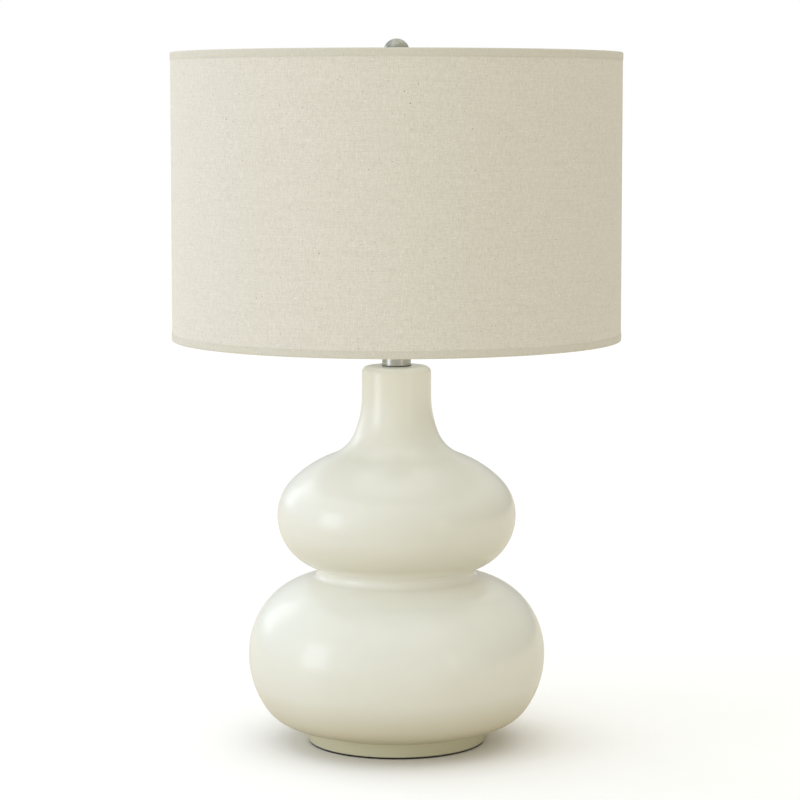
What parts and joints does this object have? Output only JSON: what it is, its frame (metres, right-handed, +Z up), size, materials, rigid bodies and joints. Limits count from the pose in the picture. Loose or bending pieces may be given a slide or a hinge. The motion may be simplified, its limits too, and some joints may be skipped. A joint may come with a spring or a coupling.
{
  "type": "double gourd table lamp",
  "caption": "Table lamp with a cream ceramic double gourd base, short metal neck, linen drum shade on a harp, ball finial and screw bulb holder.",
  "frame": {"origin": "centre of the underside of the foot pad, on the lamp's vertical axis", "axes": "+Z up along the lamp's axis; -Y is the front, where the switch knob points; +Y is the back, where the cord inlet is; +X is to the right seen from the front, in the harp's plane"},
  "size_m": [0.3999, 0.4, 0.6294],
  "materials": {
    "felt_black": "matt black foot and seat pads",
    "glazed_ceramic": "satin cream glaze over earthenware",
    "black_nylon": "moulded bushing",
    "zinc_steel": "bright zinc plate",
    "brushed_nickel": "brushed nickel plate",
    "nickel_steel": "nickel plated steel wire and strip",
    "white_wire": "white powder coat",
    "shade_liner": "white styrene",
    "linen": "natural linen",
    "brass": "plain brass",
    "nickel_shell": "nickel plated brass shell",
    "holder_paper": "insulating fibre tube",
    "phenolic": "moulded phenolic",
    "knob_plastic": "moulded knob",
    "tin": "soldered tip",
    "black_glass": "black insulating glass",
    "bulb_alu": "drawn screw cap",
    "bulb_white": "white housing",
    "opal_globe": "opal diffusing globe"
  },
  "bodies": {
    "base": {"foot_pad": "felt_black", "gourd_body": "glazed_ceramic", "cord_grommet": "black_nylon", "base_plate": "zinc_steel", "lock_washer": "zinc_steel", "base_nut": "zinc_steel", "threaded_rod": "zinc_steel", "neck_seat": "felt_black", "neck_collar": "brushed_nickel", "harp_saddle": "nickel_steel", "socket_cap": "nickel_shell", "set_screw": "zinc_steel", "socket_shell": "nickel_shell", "socket_liner": "holder_paper", "socket_interior": "phenolic", "terminal_screws": "brass", "screw_shell": "brass", "socket_contact": "brass"},
    "switch": {"switch_spindle": "nickel_steel", "switch_knob": "knob_plastic"},
    "bulb_tip": {"bulb_contact": "tin"},
    "bulb": {"bulb_insulator": "black_glass", "bulb_cap": "bulb_alu", "bulb_housing": "bulb_white", "bulb_globe": "opal_globe"},
    "harp": {"harp_wire": "nickel_steel"},
    "left_sleeve": {"left_ferrule": "nickel_steel"},
    "right_sleeve": {"right_ferrule": "nickel_steel"},
    "swivel": {"harp_stud": "nickel_steel"},
    "shade": {"spider_hub": "nickel_steel", "spider_arms": "white_wire", "shade_top_ring": "white_wire", "shade_bottom_ring": "white_wire", "shade_liner": "shade_liner", "shade_fabric": "linen", "top_hem": "linen", "bottom_hem": "linen"},
    "finial_core": {"finial_insert": "brass"},
    "finial": {"finial_ball": "brushed_nickel"}
  },
  "joints": [
    {"name": "switch_turn", "type": "hinge", "parent": "base", "child": "switch", "pos_m": [0, 0, 0.402], "axis": [0, -1, 0], "continuous": true},
    {"name": "bulb_lift", "type": "slide", "parent": "base", "child": "bulb_tip", "axis": [0, 0, 1], "range_m": [0, 0.0219]},
    {"name": "bulb_turn", "type": "hinge", "parent": "bulb_tip", "child": "bulb", "pos_m": [0, 0, 0.429], "axis": [0, 0, 1], "range_deg": [0, 2160]},
    {"name": "harp_lift", "type": "slide", "parent": "base", "child": "harp", "axis": [0, 0, 1], "range_m": [0, 0.04]},
    {"name": "left_ferrule_lift", "type": "slide", "parent": "harp", "child": "left_sleeve", "axis": [0, 0, 1], "range_m": [0, 0.018]},
    {"name": "right_ferrule_lift", "type": "slide", "parent": "harp", "child": "right_sleeve", "axis": [0, 0, 1], "range_m": [0, 0.018]},
    {"name": "shade_swivel", "type": "hinge", "parent": "harp", "child": "swivel", "pos_m": [0, 0, 0.597], "axis": [0, 0, 1], "continuous": true},
    {"name": "shade_lift", "type": "slide", "parent": "swivel", "child": "shade", "axis": [0, 0, 1], "range_m": [0, 0.26]},
    {"name": "finial_lift", "type": "slide", "parent": "shade", "child": "finial_core", "axis": [0, 0, 1], "range_m": [0, 0.0081]},
    {"name": "finial_turn", "type": "hinge", "parent": "finial_core", "child": "finial", "pos_m": [0, 0, 0.611], "axis": [0, 0, 1], "range_deg": [0, 3060]}
  ],
  "couplings": [
    {"joint": "bulb_lift", "follows": "bulb_turn", "m_per_rad": 0.0005775},
    {"joint": "finial_lift", "follows": "finial_turn", "m_per_rad": 0.00014972}
  ]
}
